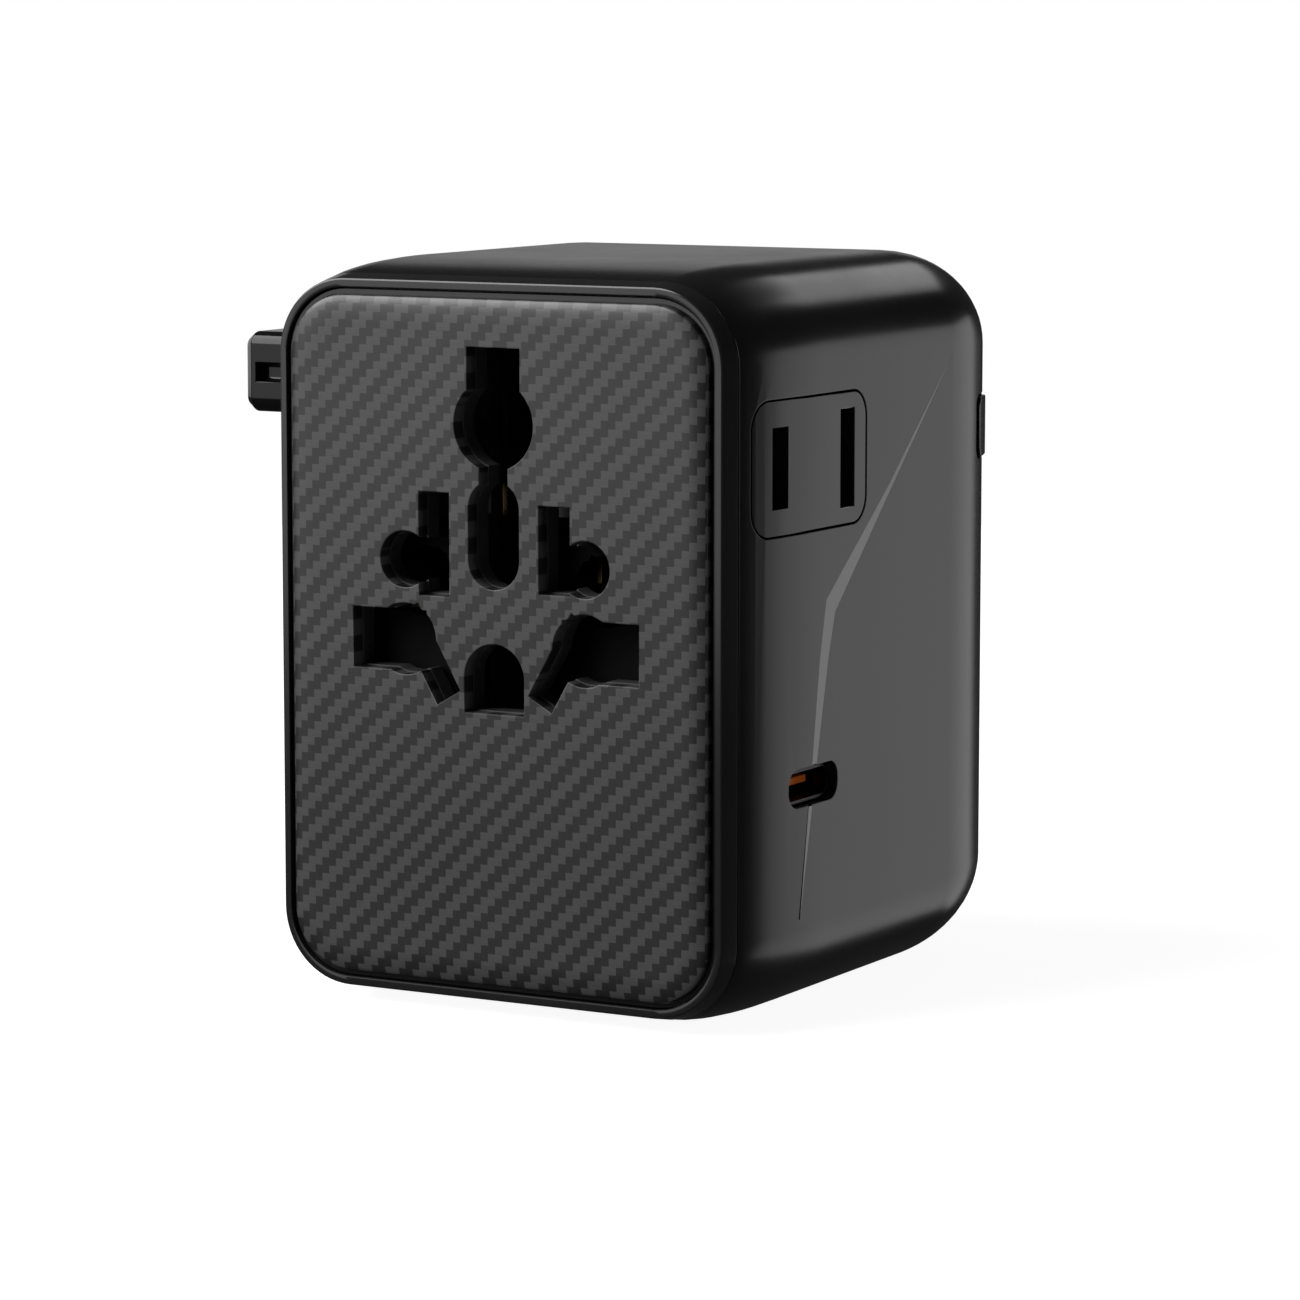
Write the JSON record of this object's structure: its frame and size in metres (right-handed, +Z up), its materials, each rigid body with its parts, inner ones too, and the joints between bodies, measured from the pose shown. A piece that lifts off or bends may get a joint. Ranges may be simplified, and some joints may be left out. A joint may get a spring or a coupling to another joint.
{
  "type": "universal travel adapter",
  "caption": "Upright block-shaped travel plug adapter with a multi-standard socket face, a side socket, a USB-C port and plug pins that slide out of the rear.",
  "frame": {"origin": "middle of the flat base the adapter stands on", "axes": "+Z up; the socket face looks along -Y, the plug pins slide out along +Y, the side socket and USB port look along +X"},
  "size_m": [0.0562, 0.0591, 0.069],
  "materials": {
    "body_plastic": "satin moulded dark grey",
    "accent_grey": "satin lighter grey inlay",
    "black_gloss": "polished black",
    "weave_panel": "printed twill weave under a semi-gloss coat",
    "inner_plastic": "plain moulded black",
    "shutter_plastic": "plain moulded black",
    "plated_pin": "bright nickel plate",
    "contact_brass": "stamped brass",
    "steel": "plain steel",
    "orange_tongue": "moulded orange",
    "circuit_board": "green solder mask",
    "ferrite": "sintered dark grey",
    "winding_tape": "yellow insulating tape",
    "capacitor_sleeve": "shrunk dark sleeve",
    "fuse_ceramic": "glazed ceramic with plated ends"
  },
  "bodies": {
    "housing": {"outer_housing": "body_plastic", "side_accent": "accent_grey", "front_bezel": "black_gloss", "socket_panel": "weave_panel", "socket_deck": "inner_plastic", "shutter_spring": "steel", "contact_carrier": "inner_plastic", "line_contact": "contact_brass", "neutral_contact": "contact_brass", "earth_contact": "contact_brass", "side_socket_panel": "body_plastic", "side_socket_core": "inner_plastic", "side_line_contact": "contact_brass", "side_neutral_contact": "contact_brass", "inner_frame": "inner_plastic", "guide_rods": "steel", "usb_port_shell": "steel", "usb_port_tongue": "orange_tongue", "charger_board": "circuit_board", "power_board": "circuit_board", "transformer_core": "ferrite", "transformer_winding": "winding_tape", "filter_capacitors": "capacitor_sleeve", "filter_choke": "ferrite", "fuse": "fuse_ceramic", "fuse_clips": "contact_brass", "deck_screws": "steel", "frame_screws": "steel"},
    "uk_plug": {"uk_carriage": "inner_plastic", "uk_line_pin": "plated_pin", "uk_neutral_pin": "plated_pin", "uk_earth_pin": "plated_pin", "uk_knob": "black_gloss"},
    "eu_plug": {"eu_carriage": "inner_plastic", "eu_line_pin": "plated_pin", "eu_neutral_pin": "plated_pin", "eu_knob": "black_gloss"},
    "us_plug": {"us_carriage": "inner_plastic", "us_knob": "black_gloss"},
    "left_blade": {"us_left_blade": "plated_pin"},
    "right_blade": {"us_right_blade": "plated_pin"},
    "shutter": {"safety_shutter": "shutter_plastic"},
    "button": {"release_button": "body_plastic"}
  },
  "joints": [
    {"name": "uk_slide", "type": "slide", "parent": "housing", "child": "uk_plug", "axis": [0, 1, 0], "range_m": [0, 0.023]},
    {"name": "eu_slide", "type": "slide", "parent": "housing", "child": "eu_plug", "axis": [0, 1, 0], "range_m": [0, 0.0192]},
    {"name": "us_slide", "type": "slide", "parent": "housing", "child": "us_plug", "axis": [0, 1, 0], "range_m": [0, 0.0192]},
    {"name": "left_blade_swivel", "type": "hinge", "parent": "us_plug", "child": "left_blade", "pos_m": [-0.00635, 0.0009, 0.0225], "axis": [0, 1, 0], "range_deg": [-30, 0]},
    {"name": "right_blade_swivel", "type": "hinge", "parent": "us_plug", "child": "right_blade", "pos_m": [0.00635, 0.0009, 0.0225], "axis": [0, 1, 0], "range_deg": [0, 30]},
    {"name": "shutter_slide", "type": "slide", "parent": "housing", "child": "shutter", "axis": [0, 0, -1], "range_m": [0, 0.005], "stiffness_N_per_m": 80, "springref_m": -0.001, "deforming": ["shutter_spring"]},
    {"name": "release_press", "type": "slide", "parent": "housing", "child": "button", "axis": [-1, 0, 0], "range_m": [0, 0.0009], "stiffness_N_per_m": 300, "springref_m": -0.0005}
  ]
}
